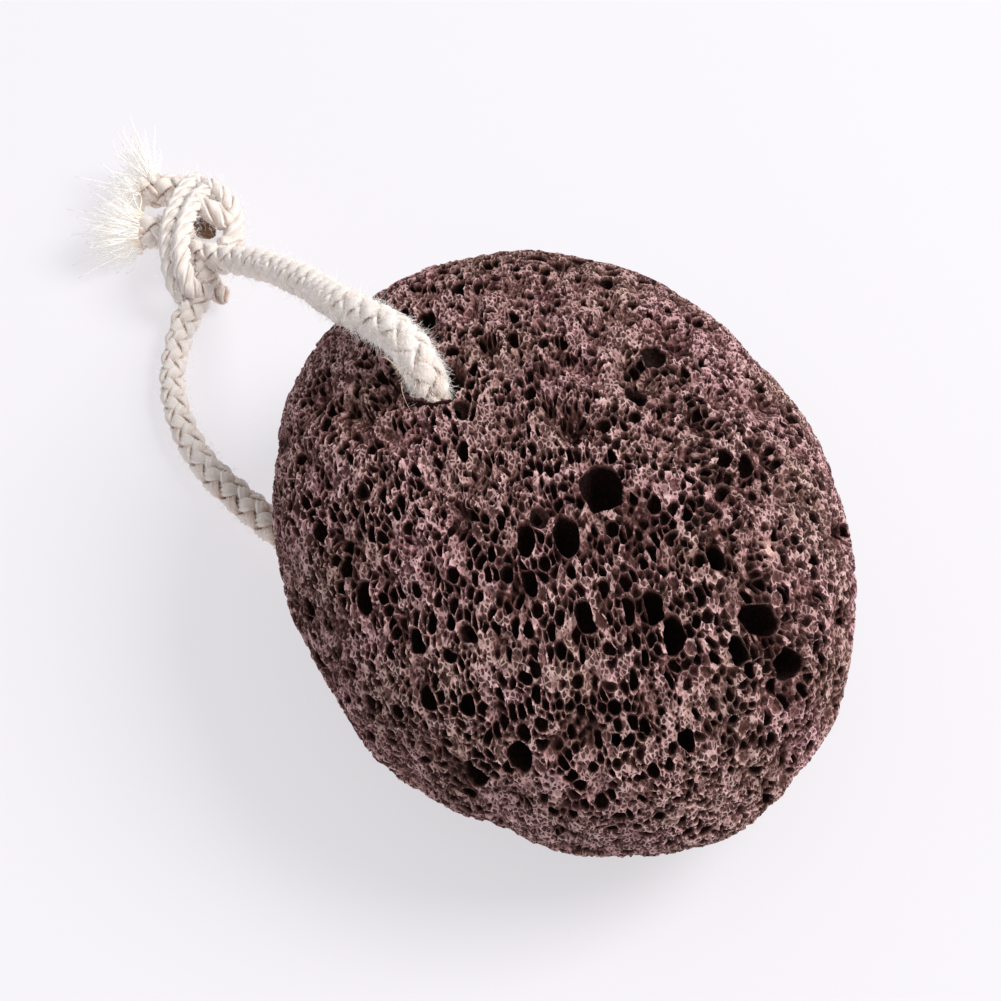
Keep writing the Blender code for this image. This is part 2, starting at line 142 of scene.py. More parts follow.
# The large pits: place, length along the grain, width and depth.
PITS = (
    ((-18.6, -9.0, 40.9), 6.6, 2.5, 4.5), ((-31.5, -8.6, 37.4), 4.8, 2.5, 3.0),
    ((9.9, 1.3, 42.0), 7.6, 5.6, 5.5), ((23.8, 11.8, 39.6), 4.3, 3.3, 4.5),
    ((32.6, 14.2, 36.8), 5.2, 5.8, 5.0), ((36.0, 9.8, 36.0), 5.6, 2.6, 4.0),
    ((38.2, 16.0, 33.0), 5.4, 3.9, 4.5), ((15.5, -5.6, 41.5), 7.9, 3.5, 4.5),
    ((13.9, -10.3, 41.2), 5.4, 3.3, 3.5), ((32.3, 2.4, 38.3), 8.1, 2.9, 4.5),
    ((28.1, 1.2, 39.6), 5.9, 3.1, 4.0), ((20.1, -12.6, 40.1), 5.4, 2.5, 3.0),
    ((26.4, -7.3, 39.6), 7.9, 2.5, 3.0), ((27.7, -1.7, 39.7), 5.2, 2.1, 2.6),
    ((35.9, -25.3, 26.3), 4.0, 3.3, 4.5), ((37.9, 10.2, 35.0), 4.9, 1.9, 2.4),
    ((10.3, -31.3, 33.9), 7.4, 2.7, 3.5), ((4.6, -32.2, 33.8), 3.8, 2.3, 2.6),
    ((-2.5, -33.2, 33.1), 4.8, 2.5, 3.0), ((20.3, -27.2, 34.8), 4.9, 2.5, 3.0),
    ((26.3, -27.9, 31.9), 5.4, 2.5, 3.0), ((30.6, -23.9, 32.9), 5.2, 2.5, 3.0),
    ((37.8, -19.8, 30.2), 8.5, 3.7, 3.5), ((41.0, -8.5, 33.3), 6.4, 2.3, 3.0),
    ((43.4, -0.2, 32.3), 7.1, 2.3, 3.0), ((-4.2, 12.1, 41.4), 6.4, 2.9, 3.0),
    ((-10.1, 17.0, 40.2), 4.9, 3.7, 1.8), ((10.9, 21.7, 39.0), 4.8, 2.5, 2.5),
    ((9.4, 19.0, 39.9), 3.8, 2.4, 2.4), ((-34.3, -2.5, 37.1), 6.3, 2.1, 3.0),
    ((18.8, -24.7, 36.6), 4.0, 1.9, 2.2), ((20.6, -22.8, 37.2), 4.0, 1.9, 2.2),
    ((31.6, -20.2, 34.6), 4.3, 1.9, 2.2), ((-2.8, -13.2, 41.3), 4.7, 1.9, 2.2),
    ((-19.0, 0.1, 40.9), 3.6, 1.8, 2.0), ((-8.8, -1.6, 41.8), 3.3, 1.9, 2.0),
    ((25.3, 25.1, 34.6), 2.6, 2.1, 2.0),
)

# ---- Hole and rope
# The hole's middle line and its radius, as in the part.
HOLE_LINE = (
    ((-30.0, -17.2, 40.6), 2.9), ((-25.7, -15.6, 41.7), 3.1), ((-22.6, -14.5, 42.3), 3.2),
    ((-19.5, -13.5, 42.1), 3.4), ((-16.8, -12.7, 40.9), 3.7), ((-14.5, -12.5, 38.8), 3.9),
    ((-13.0, -13.1, 36.1), 3.8), ((-12.4, -14.2, 33.1), 3.7), ((-12.8, -15.8, 30.1), 3.6),
    ((-14.1, -18.2, 25.9), 3.6), ((-15.7, -20.9, 20.6), 3.6), ((-17.2, -23.5, 15.5), 3.6),
    ((-18.6, -26.0, 10.9), 3.8), ((-20.3, -28.6, 7.0), 4.4), ((-22.4, -31.2, 3.6), 5.2),
)
BORE_FROM = 5  # the stations of the hole's line between which it has a wall
BORE_TO = 12
BORE_STEP = 1.5 * MM
BORE_SIDES = 36
BORE_ROUGH = 0.3 * MM
BORE_SHADE = 0.9 * MM  # painted shade on the hole's wall: as dark as a pore this deep
# The mouths: place, length and width of the outline.
MOUTHS = (
    ((-15.8, -12.0, 40.8), 8.4, 8.2),
    ((-20.0, -29.2, 6.8), 10.0, 9.0),
)

ROPE_RADIUS = 2.6 * MM
ROPE_CLEARANCE = 0.65 * MM  # the braid's lobes and hairs stand out past its radius
ROPE_ROUTE = (
    (-84.6, -31.0, 4.9), (-81.2, -28.9, 6.4), (-77.5, -26.8, 8.6), (-73.4, -24.7, 11.4),
    (-68.0, -23.1, 15.3), (-63.2, -22.1, 18.6), (-58.7, -21.3, 21.6), (-54.8, -20.6, 24.2),
    (-51.1, -19.9, 26.6), (-47.7, -19.4, 28.6), (-43.8, -19.2, 31.2), (-39.0, -19.2, 34.8),
    (-34.0, -18.7, 38.1), (-29.3, -17.1, 40.3), (-25.8, -15.8, 41.6), (-22.6, -14.6, 42.2),
    (-19.5, -13.8, 42.0), (-16.8, -13.3, 40.8), (-14.5, -13.2, 38.8), (-13.0, -13.6, 36.1),
    (-12.4, -14.6, 33.1), (-12.8, -16.1, 30.0), (-14.1, -18.4, 25.6), (-15.8, -21.1, 20.3),
    (-17.2, -23.5, 15.5), (-18.6, -26.0, 10.9), (-20.1, -28.3, 7.2), (-21.9, -30.3, 4.7),
    (-24.4, -32.2, 3.2), (-27.4, -33.9, 2.7), (-31.0, -35.7, 2.7), (-35.6, -37.9, 2.7),
    (-41.0, -40.1, 2.7), (-47.0, -41.5, 2.7), (-53.0, -41.9, 2.7), (-59.0, -41.4, 2.7),
    (-64.5, -39.9, 2.7), (-69.2, -37.7, 2.8), (-72.4, -35.7, 3.1), (-75.0, -33.6, 3.7),
    (-78.9, -30.6, 4.8), (-83.4, -29.6, 5.4),
)

# Where the rope swells, gets painted shade (going into the hole, and in the stone's shadow) or is
# brushed up: from which x on, and over how far.
NEAR_STONE = (-62 * MM, 24 * MM)
INTO_HOLE = (-19 * MM, 6 * MM)
UNDER_STONE = (-46 * MM, 14 * MM)
UNDER_STONE_BELOW = 12 * MM
BRUSHED = (-38 * MM, 16 * MM)
BRUSHED_ABOVE = 36 * MM
LOWER_STRAND = (34 * MM, 5 * MM)  # where it is thinner, by -y

# Braid: all lengths as shares of the rope's radius.
BRAID_STEP = 0.45 * MM
BRAID_PITCH = 6.1  # along the rope for one turn of a strand
STRANDS_EACH_WAY = 4
STRAND_MIDDLE = 0.577  # mean distance of a strand from the rope's middle
STRAND_WEAVE = 0.19  # how far it moves out and in
STRAND_THICK = 0.233  # half its thickness
STRAND_WIDE = 0.43  # half its width
STRAND_PINCH = 0.14  # how much narrower it is at mid height
STRAND_SLACK = 0.02  # how unlike the strands are, and how each wanders
STRAND_WANDER = 0.035
WANDER_SIZE = 9 * MM
YARN_UNEVEN = 0.10
CORE = 0.60  # the filling in the middle
CORE_SIDES = 12
# Painted shade towards brown: where a strand dips under, in the grooves between yarns, and on the
# core.
STRAND_SHADE = 0.45
YARN_SHADE = 0.3
CORE_SHADE = 0.7
# A strand's section, three yarns side by side: places across, heights, in half sizes.
STRAND_SECTION = (
    (1.0, 0.05), (0.70, 0.80), (0.36, 0.50), (0.0, 1.0), (-0.36, 0.50), (-0.70, 0.80),
    (-1.0, 0.05), (-0.62, -0.70), (0.0, -0.85), (0.62, -0.70),
)

ROUNDED_END = 1.2 * MM  # how far from its end a turn of the knot gets thinner
# Knot: each turn's radius, how much painted shade it gets (below nought, painted light that
# brightens it), and its middle line.
KNOT_WRAPS = (
    (1.8, -0.20, ((-100.1, -25.6, 6.0), (-95.9, -28.9, 8.3), (-91.5, -31.8, 9.0),
        (-86.3, -34.2, 9.0), (-81.2, -35.6, 8.2), (-77.2, -35.8, 6.2), (-74.8, -34.8, 4.0))),
    (1.9, -0.20, ((-96.1, -24.9, 6.6), (-92.1, -28.0, 9.2), (-87.6, -30.7, 10.2),
        (-82.8, -33.0, 10.3), (-78.5, -34.1, 9.3), (-75.9, -33.9, 7.0), (-74.5, -32.9, 4.6))),
    (1.9, -0.20, ((-99.7, -27.5, 5.6), (-96.2, -25.3, 7.6), (-92.1, -23.5, 8.0),
        (-88.3, -22.9, 7.4), (-84.9, -24.2, 6.4), (-83.1, -26.9, 5.6))),
    (2.3, -0.15, ((-94.2, -29.4, 8.0), (-90.6, -27.5, 8.8), (-88.2, -25.7, 8.4),
        (-86.2, -24.4, 7.2))),
    # painted shade: this turn and the one after are darkened to fill the knot's opening
    (2.9, 0.30, ((-95.5, -29.2, 4.8), (-92.6, -31.0, 5.4), (-87.4, -32.2, 5.6),
        (-82.2, -32.4, 5.2))),
    (2.0, 0.85, ((-92.8, -29.2, 3.9), (-90.6, -27.7, 3.6), (-88.9, -26.5, 3.4))),
    (1.9, 0.00, ((-97.6, -27.4, 4.6), (-95.0, -25.0, 4.0), (-91.4, -23.4, 3.9), (-87.6, -23.0, 3.8),
        (-84.8, -24.7, 3.9), (-83.4, -27.4, 4.6))),
    (1.9, 0.12, ((-80.7, -30.8, 4.2), (-77.4, -29.4, 3.2), (-74.4, -28.7, 2.4))),
)
KNOT_TAILS = (
    (3.0, 0.12, ((-95.4, -26.9, 5.6), (-98.5, -30.0, 5.6), (-100.5, -33.2, 5.2),
        (-101.8, -36.0, 4.8))),
    (3.0, 0.10, ((-88.8, -31.0, 5.0), (-90.8, -35.2, 5.2), (-92.4, -39.0, 4.9))),
)
# The frayed ends: how many fibres, start, end and the spread of the fibres at both.
FRAYED_ENDS = (
    (90, (-100.8, -33.2, 6.4), (-111.6, -34.6, 7.4), 0.9, 2.6),
    (230, (-101.2, -34.8, 4.8), (-104.4, -39.6, 4.4), 2.6, 3.4),
    (460, (-92.0, -37.6, 5.0), (-95.2, -45.0, 4.6), 2.8, 5.2),
)
FIBRE_LENGTHS = (0.45, 1.04)  # as shares of the way from start to end
FIBRE_RADII = (0.09, 0.20)
FIBRE_CURL = 2.0 * MM
FUZZ_HAIRS = 5600
BRUSHED_HAIRS = 3900  # more of them, just before the hole
HAIR_LENGTHS = (0.3, 1.2)
HAIR_RADII = (0.020, 0.036)
# Two loose fibres that cross the rope near the hole.
LOOSE_FIBRES = (
    (0.090, ((-19.2, -18.0, 43.3), (-18.2, -17.9, 43.9), (-16.1, -17.4, 44.5), (-14.2, -16.8, 43.8),
        (-13.6, -16.4, 43.3))),
    (0.045, ((-14.6, -17.2, 42.8), (-12.8, -17.7, 43.4), (-11.0, -17.8, 43.2),
        (-9.5, -17.5, 42.4))),
)

# Colours and lights: the tones run from wall tops to pore floors, from yarns to grooves, and their
# darkening is painted shade.
PUMICE_TONES = (
    (0.00, (0.78, 0.60, 0.595)), (0.14, (0.52, 0.35, 0.345)), (0.28, (0.260, 0.146, 0.138)),
    (0.44, (0.092, 0.042, 0.037)), (0.66, (0.008, 0.003, 0.002)),
)
PUMICE_TINTS = ((0.3, (1.12, 0.97, 1.02)), (0.7, (0.94, 0.91, 0.82)))
PINHOLE_SIZE = 0.60 * MM  # of the finest foam, which is only in the material
# painted shade of the finest pores, drawn only in the colour
PINHOLE_COLOUR = (0.040, 0.016, 0.014, 1.0)
TAN_SPOT = (0.0232, 0.0192, 0.0379)
TAN_EDGE = (2.6 * MM, 4.4 * MM)
TAN_COLOUR = (0.80, 0.58, 0.50, 1.0)
COTTON_TONES = (
    (0.05, (0.94, 0.865, 0.815)), (0.45, (0.86, 0.765, 0.70)),
    (0.75, (0.66, 0.52, 0.44)), (1.00, (0.30, 0.17, 0.11)),
)
TUFT_TONES = (
    (0.05, (0.97, 0.94, 0.91)), (0.40, (0.92, 0.81, 0.68)), (0.90, (0.80, 0.55, 0.32)),
)
TUFT_GLOW = 0.22
FLOOR_HALF = 6.0
FLOOR_COLOUR = (0.27, 0.263, 0.275, 1.0)
FLOOR_GLOW_COLOUR = (0.970, 0.945, 0.985, 1.0)
FLOOR_GLOW = 0.63
KEY_PLACE = Vector((0.20, 1.08, 1.20))
KEY_SIZE = 0.85
KEY_POWER = 26.5
KEY_COLOUR = (1.0, 0.985, 0.975)
SKY_COLOUR = (0.97, 0.97, 1.0, 1.0)
SKY_STRENGTH = 0.56


# ---- Shared helpers
def add_object(name, data):
    """A new object in the scene."""
    item = bpy.data.objects.new(name, data)
    bpy.context.collection.objects.link(item)
    return item


def add_piece(name, points, faces, material, layer, values, uvs=None):
    """A mesh object, with a layer of values on its points and a map for its corners."""
    mesh = bpy.data.meshes.new(name)
    mesh.from_pydata([tuple(p) for p in points], [], faces)
    store = mesh.attributes.new(layer, "FLOAT", "POINT")
    store.data.foreach_set("value", np.asarray(values, dtype=np.float32))
    if uvs is not None:
        store = mesh.uv_layers.new(name="along")
        corners = np.zeros(len(mesh.loops), dtype=np.int32)
        mesh.loops.foreach_get("vertex_index", corners)
        store.data.foreach_set("uv", np.asarray(uvs, dtype=np.float32)[corners].ravel())
    mesh.materials.append(material)
    mesh.shade_smooth()
    return add_object(name, mesh)


def sides_of(loop):
    """The sides of a loop of corners, as pairs."""
    return list(zip(loop, loop[1:] + loop[:1]))


def open_sides(loops):
    """The sides that only one of some loops has."""
    sides = {side for loop in loops for side in sides_of(loop)}
    return [(a, b) for a, b in sorted(sides) if (b, a) not in sides]


def unit(rows):
    """Rows of vectors made one long."""
    return rows / np.linalg.norm(rows, axis=-1, keepdims=True)


def rise(values, start, over):
    """From nothing to one where values go up from a start, over a distance."""
    return np.clip((values - start) / over, 0, 1)


def waves(points, seed, size):
    """Smooth seeded noise over rows of points, mostly between -1 and 1."""
    draw = np.random.default_rng(seed)
    total = np.zeros(len(points))
    for _ in range(WAVES):
        way = unit(draw.normal(size=3))
        length = size * draw.uniform(0.8, 1.8)
        total += np.sin(points @ way * math.tau / length + draw.uniform(0, math.tau))
    return total / math.sqrt(WAVES)


def smooth_line(route, step):
    """Points a step apart on the smooth curve through a route's points, as rows."""
    rows = np.array(route) * MM
    rows = np.vstack((2 * rows[0] - rows[1], rows, 2 * rows[-1] - rows[-2]))
    share = (np.arange(24) / 24)[:, None]
    fine = []
    for a, b, c, d in zip(rows, rows[1:], rows[2:], rows[3:]):
        fine.append(0.5 * (2 * b + (c - a) * share + (2 * a - 5 * b + 4 * c - d) * share ** 2
                           + (3 * b - a - 3 * c + d) * share ** 3))
    fine = np.vstack(fine + [rows[-2]])
    reach = run_of(fine)
    goals = np.linspace(0, reach[-1], max(3, round(reach[-1] / step)) + 1)
    return np.stack([np.interp(goals, reach, fine[:, axis]) for axis in range(3)], axis=1)


def run_of(line):
    """The way along a line up to each of its points."""
    return np.concatenate(([0.0], np.cumsum(np.linalg.norm(np.diff(line, axis=0), axis=1))))


def frames_along(line):
    """Two directions square to a line at each point, turning as little as they can."""
    ahead = unit(np.gradient(line, axis=0))
    side = unit(np.cross(ahead[0], (0.31, 0.17, 0.93)))
    sides = []
    for way in ahead:
        side = unit(side - way * (side @ way))
        sides.append(side)
    sides = np.array(sides)
    return sides, np.cross(ahead, sides)


def spokes(sides, others, count):
    """Directions all around a line at each of its points, from two that are square to it."""
    turns = np.linspace(0, math.tau, count, endpoint=False)[:, None]
    return np.cos(turns) * sides[:, None] + np.sin(turns) * others[:, None]


# ---- Form of the stone
HALF = np.array((STONE_LENGTH, STONE_WIDTH, STONE_HEIGHT + WORN_BASE)) / 2
CENTRE = np.array((-EGG * STONE_LENGTH / 2, 0.0, HALF[2] - WORN_BASE))


def lumps(points):
    """Gentle swellings: the part's own sum of seeded waves."""
    rng = random.Random(SEED)
    total = np.zeros(len(points))
    for _ in range(WAVES):
        way = Vector([rng.gauss(0, 1) for _ in range(3)]).normalized()
        length = LUMP_SIZE * rng.uniform(0.9, 2.0)
        phase = rng.uniform(0, math.tau)
        total += np.sin(points @ np.array(way) * math.tau / length + phase)
    return total / math.sqrt(WAVES)


def stone_surface(directions):
    """Points of the unpitted stone, one for each row of unit directions."""
    points = directions * HALF
    turn = np.arctan2(points[:, 1], points[:, 0])
    plan = (np.abs(np.cos(turn) / HALF[0]) ** PLAN_POWER
            + np.abs(np.sin(turn) / HALF[1]) ** PLAN_POWER) ** (-1 / PLAN_POWER)
    plan *= 1 + EGG * np.cos(turn)
    reach = np.hypot(points[:, 0], points[:, 1]) / plan
    grow = (reach ** SIDE_POWER + np.abs(directions[:, 2]) ** SIDE_POWER) ** (-1 / SIDE_POWER)
    points = points * grow[:, None]
    radius = np.linalg.norm(points, axis=1)
    lift = LUMPS * lumps(points)
    for place, size, height in LEDGES:
        gap = points + CENTRE - np.array(place) * MM
        lift += height * MM * np.exp(-(gap ** 2).sum(axis=1) / (size * MM) ** 2)
    points = points * (1 + lift / radius)[:, None]
    low = np.minimum(points[:, 2], -1e-9)
    points = points * np.minimum(1.0, (HALF[2] - WORN_BASE) / -low)[:, None]
    return points + CENTRE


# ---- Pores
def grain_stretch(y):
    """How far the pores are drawn out along the grain, by the place's y."""
    share = rise(-y, -STRETCH_FROM, STRETCH_FROM - STRETCH_TO)
    return STRETCH_LEAST + (STRETCH_MOST - STRETCH_LEAST) * share


def pore_scale(points):
    """How coarse the foam is: in patches, and coarser at +X, underneath and far off."""
    patches = 1 + PATCHINESS * waves(points, SEED + 1, PATCH_SIZE)
    patches += COARSER_AT_X * np.clip(points[:, 0] / AT_X, -1, 1)
    hidden = np.maximum(rise(-points[:, 2], *UNDERSIDE), rise(points @ FAR_SIDE, *FAR_FLANK))
    return np.clip(patches, 0.8, 1.3) * (1 + HIDDEN_COARSER * hidden)


class PoreNet:
    """Pore centres spread over the stone, none nearer than their radii allow."""

    def __init__(self, radius):
        self.directions = []
        self.points = []
        self.radii = []
        self.prepare(radius)

    def prepare(self, radius):
        """Sorts the pores anew, for trying pores of up to this radius."""
        self.buckets = {}
        self.pitch = 2.2 * radius
        self.newest = radius
        for index in range(len(self.points)):
            self.enter(index)

    def enter(self, index):
        """Lists a pore in every bucket that a new pore's centre could be too near in."""
        reach = (self.radii[index] + self.newest) * STRETCH_MOST
        spans = [range(math.floor((c - reach) / self.pitch),
                       math.floor((c + reach) / self.pitch) + 1) for c in self.points[index]]
        for key in itertools.product(*spans):
            self.buckets.setdefault(key, []).append(index)

    def free(self, point, radius, squeeze):
        """True when no pore lies too near."""
        key = tuple(math.floor(c / self.pitch) for c in point)
        for index in self.buckets.get(key, ()):
            other = self.points[index]
            dx = point[0] - other[0]
            dy = point[1] - other[1]
            dz = point[2] - other[2]
            along = dx * GRAIN[0] + dy * GRAIN[1]
            limit = radius + self.radii[index]
            if dx * dx + dy * dy + dz * dz - along * along * squeeze < limit * limit:
                return False
        return True

    def add(self, direction, point, radius):
        """Takes a pore into the net."""
        self.directions.append(tuple(direction))
        self.points.append(tuple(point))
        self.radii.append(radius)
        self.enter(len(self.points) - 1)


def random_directions(draw, count):
    """Directions whose points are spread evenly over the stone's surface."""
    rows = unit(draw.normal(size=(count, 3)))
    area = np.linalg.norm(rows / HALF, axis=1) * HALF.min()
    return rows[draw.random(count) < area]


def lay_out_pores():
    """The resting patch, then coarse to fine pores all around it."""
    draw = np.random.default_rng(SEED)
    net = PoreNet(REST_PATCH)
    down = np.array((0.0, 0.0, -1.0))
    net.add(down, stone_surface(down[None])[0], REST_PATCH)
    for spot, length, width, _ in PITS:
        direction = unit((np.array(spot) * MM - CENTRE) / HALF)
        seed = PIT_SEED * min(width, 0.7 * length) * MM
        net.add(direction, stone_surface(direction[None])[0], seed)
    for radius, tries in PORE_CLASSES:
        directions = random_directions(draw, tries)
        points = stone_surface(directions)
        sizes = radius * MM * pore_scale(points) * draw.uniform(0.85, 1.15, len(points))
        stretches = grain_stretch(points[:, 1])
        if radius < FINE_PORES / MM:
            stretches = 1 + FINE_STRETCH * (stretches - 1)
        squeezes = 1 - 1 / stretches ** 2
        net.prepare(float(sizes.max()))
        for direction, point, size, squeeze in zip(directions, points.tolist(),
                                                   sizes.tolist(), squeezes.tolist()):
            if net.free(point, size, squeeze):
                net.add(direction, point, size)
    return net


def crossing_is_flat(edge, stretch):
    """True when an edge would be shorter the other way across its two triangles."""
    grain = Vector(GRAIN)
    angle = 0.0
    for face in edge.link_faces:
        for tip in face.verts:
            if tip not in edge.verts:
                ways = [end.co - tip.co for end in edge.verts]
                one, two = [way - grain * way.dot(grain) * (1 - 1 / stretch) for way in ways]
                angle += one.angle(two)
    return angle > math.pi + FLIP_SLACK


def triangulate(net):
    """A mesh of triangles between neighbouring pore centres."""
    rows = np.array(net.directions)
    flat = rows[1:, :2] / (1 + rows[1:, 2:])
    made = delaunay_2d_cdt([Vector(spot) for spot in flat], [], [], 0, 1e-9)
    faces, sources = made[2:4]
    triangles = [[sources[corner][0] + 1 for corner in face] for face in faces]
    triangles += [[b, a, 0] for a, b in open_sides(triangles)]
    net_mesh = bmesh.new()
    verts = [net_mesh.verts.new(point) for point in net.points]
    for triangle in triangles:
        net_mesh.faces.new([verts[corner] for corner in triangle])
    waiting = list(net_mesh.edges)
    turns_left = MOST_FLIPS * len(waiting)
    while waiting and turns_left:
        edge = waiting.pop()
        if not edge.is_valid or len(edge.link_faces) != 2:
            continue
        if min(len(v.link_edges) for v in edge.verts) <= LEAST_SIDES:
            continue
        if not crossing_is_flat(edge, float(grain_stretch(edge.verts[0].co.y))):
            continue
        turned = bmesh.utils.edge_rotate(edge, True)
        if turned:
            turns_left -= 1
            for face in turned.link_faces:
                waiting += [side for side in face.edges if side is not turned]
    return net_mesh


def loop_around(vert):
    """The faces around a pore centre, in turn."""
    start = vert.link_loops[0]
    ring = [start.face.index]
    step = start.link_loop_prev.link_loop_radial_next
    while step.face is not start.face:
        ring.append(step.face.index)
        step = step.link_loop_prev.link_loop_radial_next
    return ring


def cells_of(net, draw):
    """The corners where three pores meet, and each pore's cell as a list of corners."""
    net_mesh = triangulate(net)
    net_mesh.verts.index_update()
    net_mesh.faces.index_update()
    triples = np.array([[v.index for v in face.verts] for face in net_mesh.faces])
    sizes = np.array(net.radii)[triples]
    total = sizes.sum(axis=1, keepdims=True)
    rows = (np.array(net.directions)[triples] * (total - sizes)[:, :, None]).sum(axis=1)
    jitter = draw.normal(size=rows.shape) * CORNER_JITTER * sizes.min(axis=1)[:, None] / HALF
    corners = stone_surface(unit(unit(rows) + jitter))
    cells = [loop_around(vert) if vert.link_faces else None for vert in net_mesh.verts]
    net_mesh.free()
    for index, cell in enumerate(cells):
        if cell and winding(corners[cell]) @ (np.array(net.points[index]) - CENTRE) < 0:
            cell.reverse()
    return corners, cells


def winding(points):
    """Twice the area of a loop of points, as a vector square to it."""
    gap = points - points.mean(axis=0)
    return np.cross(gap, np.roll(gap, -1, axis=0)).sum(axis=0)


def outline_of(*cells):
    """The outline around neighbouring cells, or None where it isn't one loop."""
    outer = open_sides(cells)
    after = dict(outer)
    if len(after) != len(outer):
        return None
    outline = [outer[0][0]]
    while after[outline[-1]] != outline[0]:
        outline.append(after[outline[-1]])
    return outline if len(outline) == len(outer) else None


def round_off(corners, outline, passes):
    """Takes the teeth off an outline."""
    for _ in range(passes):
        rows = corners[outline]
        between = (np.roll(rows, 1, axis=0) + np.roll(rows, -1, axis=0)) / 2
        corners[outline] = rows * 0.45 + between * 0.55


def join_patch(places, corners, cells, spot, length, width):
    """Joins the cells inside an ellipse along the grain into one, and gives its number."""
    gap = places - np.array(spot) * MM
    along = gap @ GRAIN
    across = np.sqrt(np.maximum((gap ** 2).sum(axis=1) - along ** 2, 0))
    off = (2 * along / (length * MM)) ** 2 + (2 * across / (width * MM)) ** 2
    first, *others = [i for i in np.argsort(off) if cells[i] is not None]
    waiting = [i for i in others if off[i] < 1]
    joined = True
    while joined:
        joined = False
        for index in list(waiting):
            outline = outline_of(cells[first], cells[index])
            if outline:
                cells[first] = outline
                cells[index] = None
                waiting.remove(index)
                joined = True
    round_off(corners, cells[first], 2)
    return first


def join_pairs(net, corners, cells, taken, draw):
    """Joins small neighbours whose wall broke through, mostly those along the grain."""
    owner = {}
    for index, cell in enumerate(cells):
        for side in sides_of(cell or []):
            owner[side] = index
    busy = set(taken)
    for (a, b), one in list(owner.items()):
        two = owner[(b, a)]
        if one > two or one in busy or two in busy:
            continue
        gap = np.array(net.points[one]) - np.array(net.points[two])
        lined_up = (gap @ GRAIN) ** 2 / (gap @ gap)
        fine = max(net.radii[one], net.radii[two]) < MERGED_RADIUS
        if not fine or draw.random() >= MERGED_SHARE * (0.4 + 2 * lined_up):
            continue
        outline = outline_of(cells[one], cells[two])
        if outline:
            cells[one] = outline
            cells[two] = None
            busy |= {one, two}
            for spot in (outline.index(a), outline.index(b)):
                ends = corners[[outline[spot - 1], outline[(spot + 1) % len(outline)]]]
                corners[outline[spot]] = (0.25 * corners[outline[spot]]
                                          + 0.75 * ends.mean(axis=0))


class Skin:
    """The stone's mesh as it is built: points, how deep in its pore each is (which sets its painted
    shade), faces.
    """

    def __init__(self, corners, lowered):
        self.points = [tuple(c) for c in corners]
        self.depths = [WEAR_SHADE * low for low in lowered]
        self.faces = []

    def ring(self, rows, depths):
        """Adds points and returns their numbers."""
        first = len(self.points)
        self.points += [tuple(row) for row in rows]
        self.depths += list(depths)
        return list(range(first, len(self.points)))

    def bridge(self, upper, lower):
        """Faces between two rings of as many points."""
        for (a, b), (c, d) in zip(sides_of(upper), sides_of(lower)):
            self.faces += [(a, b, d), (a, d, c)]

    def sew(self, upper, lower):
        """Faces between two rings that have unlike numbers of points."""
        points = np.array(self.points)
        start = int(((points[lower] - points[upper[0]]) ** 2).sum(axis=1).argmin())
        upper = upper + upper[:1]
        lower = lower[start:] + lower[:start + 1]
        i = j = 0
        while i + 1 < len(upper) or j + 1 < len(lower):
            forth = i + 1 < len(upper)
            if forth and j + 1 < len(lower):
                upper_gap = np.linalg.norm(points[upper[i + 1]] - points[lower[j]])
                lower_gap = np.linalg.norm(points[upper[i]] - points[lower[j + 1]])
                forth = upper_gap <= lower_gap
            if forth:
                self.faces.append((upper[i], upper[i + 1], lower[j]))
                i += 1
            else:
                self.faces.append((upper[i], lower[j + 1], lower[j]))
                j += 1

    def sink(self, corners, cell, steps, depth, lean):
        """Sinks a cell into a pit with a round-cornered bowl."""
        rim = corners[cell]
        middle = rim.mean(axis=0)
        area = winding(rim)
        inward = -area / np.linalg.norm(area)
        arms = rim - middle
        lengths = np.linalg.norm(arms, axis=1, keepdims=True)
        rounded = arms * (0.5 + 0.5 * lengths.mean() / lengths)
        upper = cell
        for share, down, shift in steps:
            rows = middle + lean * shift + rounded * share + inward * depth * down
            lower = self.ring(rows, [depth * down] * len(cell))
            self.bridge(upper, lower)
            upper = lower
        tip = self.ring([middle + lean + inward * depth], [depth])[0]
        self.faces += [(a, b, tip) for a, b in sides_of(upper)]


def pore_plan(radius, scale, draw):
    """The steps and the depth of a pore of this radius, where the foam is this coarse."""
    chance = draw.random()
    for limit, steps, depths, shallow, share in PORE_KINDS:
        if radius < limit * MM:
            if steps is CONE:
                chance = draw.random()
            elif scale > COARSE_FOAM:
                share *= 2
            return steps, radius * draw.uniform(*(shallow if chance < share else depths))
    steps = BROKEN_BOWL if chance < BROKEN_SHARE else DEEP_BOWL
    return steps, radius * draw.uniform(*DEEP_BOWL_DEPTHS)


def lowered_rims(net, corners, draw):
    """How far each corner of the foam's walls is worn or broken down."""
    low = LEAST_WEAR + WEAR * draw.random(len(corners)) ** 2
    for index in draw.choice(len(net.points), HOLLOWS, replace=False):
        radius = draw.uniform(*HOLLOW_RADIUS) * MM
        depth = draw.uniform(*HOLLOW_DEPTH) * MM
        gap = corners - np.array(net.points[index])
        along = gap @ GRAIN
        reach = ((gap ** 2).sum(axis=1) - 0.6 * along ** 2) / radius ** 2
        low += depth * np.clip(1 - reach, 0, 1) ** 2
    return np.where(corners[:, 2] < 0.02 * MM, 0.0, low)


